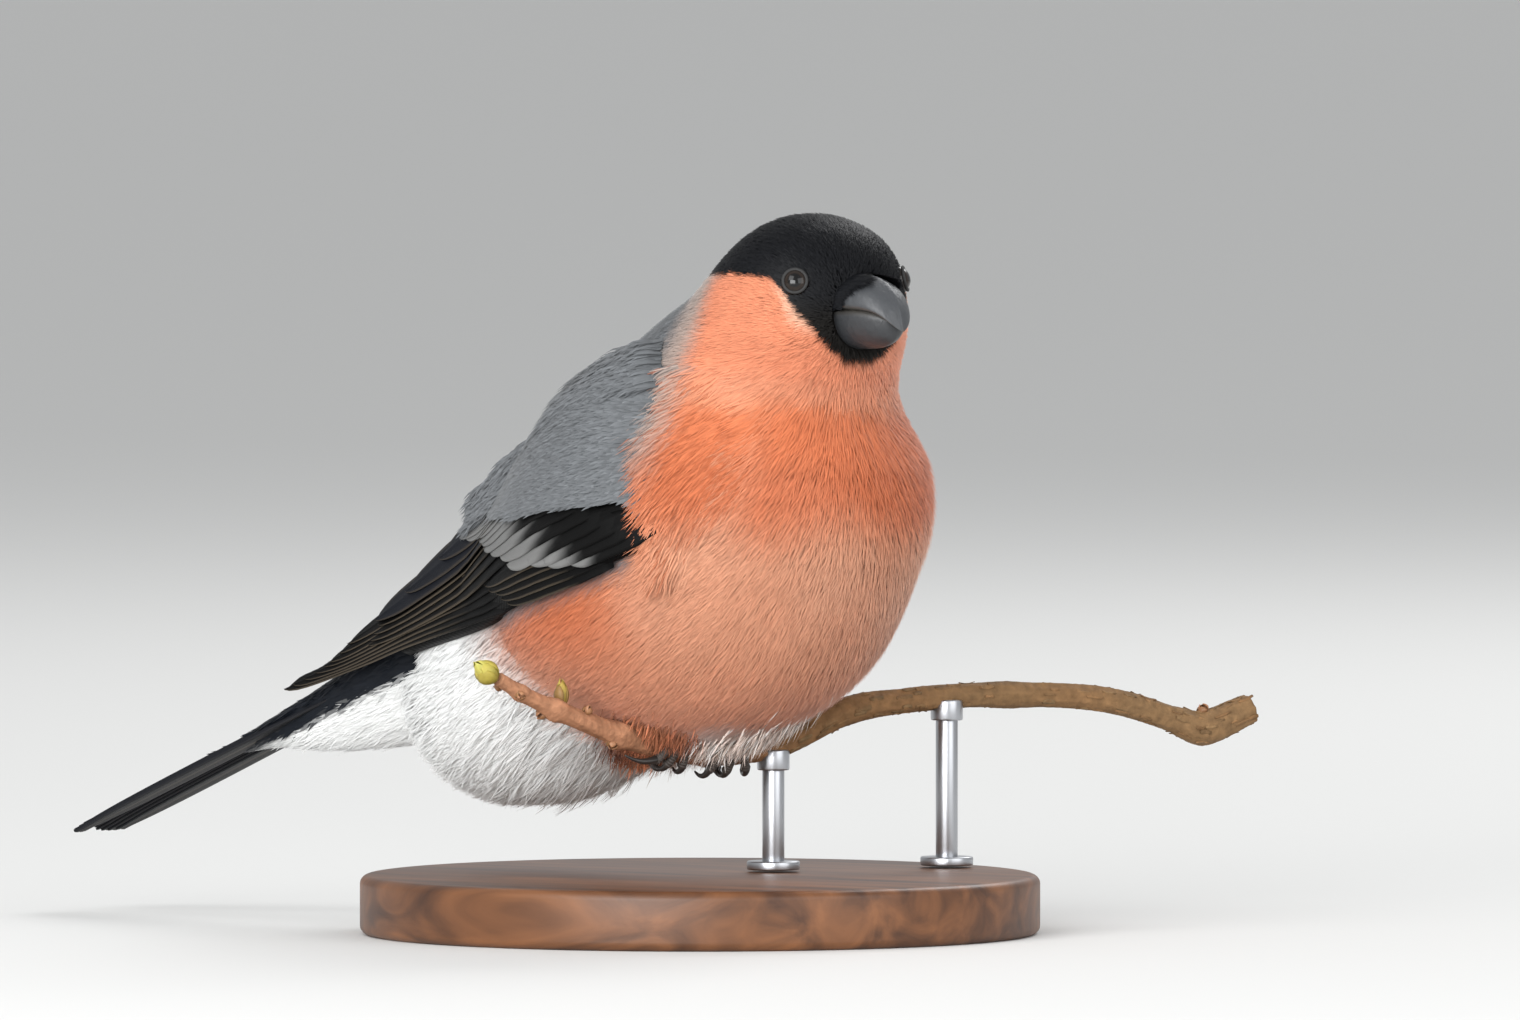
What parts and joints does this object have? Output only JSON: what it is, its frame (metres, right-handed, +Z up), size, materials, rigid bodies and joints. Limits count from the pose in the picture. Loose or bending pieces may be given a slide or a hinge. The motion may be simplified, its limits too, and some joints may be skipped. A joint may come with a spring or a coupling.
{
  "type": "bullfinch",
  "caption": "Life-size still model of a fluffed-up male bullfinch gripping a cut twig, on a round display base with rods.",
  "frame": {"origin": "middle of the round base's underside, on the floor", "axes": "+X the way the bird's body faces, +Y its left side, +Z up"},
  "size_m": [0.1504, 0.1242, 0.0977],
  "materials": {
    "black_plumage": "glossy blue-black feathers",
    "orange_plumage": "soft hair-like body feathers",
    "wing_plumage": "grey-blue coverts over black flight feathers",
    "bill_horn": "satin dark horn",
    "eye_gloss": "glossy dark eye",
    "leg_horn": "scaled dark skin and horn",
    "bark": "rough flaky bark",
    "bud": "opening bud scales",
    "base_wood": "oiled dark wood",
    "rod_metal": "brushed steel rods"
  },
  "bodies": {
    "root": {"head": "black_plumage", "neck": "orange_plumage", "torso": "orange_plumage", "bill_upper": "bill_horn", "bill_lower": "bill_horn", "tail": "black_plumage", "eye_right": "eye_gloss", "wing_right": "wing_plumage", "leg_right": "orange_plumage", "foot_right": "leg_horn", "eye_left": "eye_gloss", "wing_left": "wing_plumage", "leg_left": "orange_plumage", "foot_left": "leg_horn", "twig": "bark", "bud_end": "bud", "bud_side": "bud", "stand_base": "base_wood", "stand_rod_near": "rod_metal", "stand_rod_far": "rod_metal"}
  },
  "joints": []
}
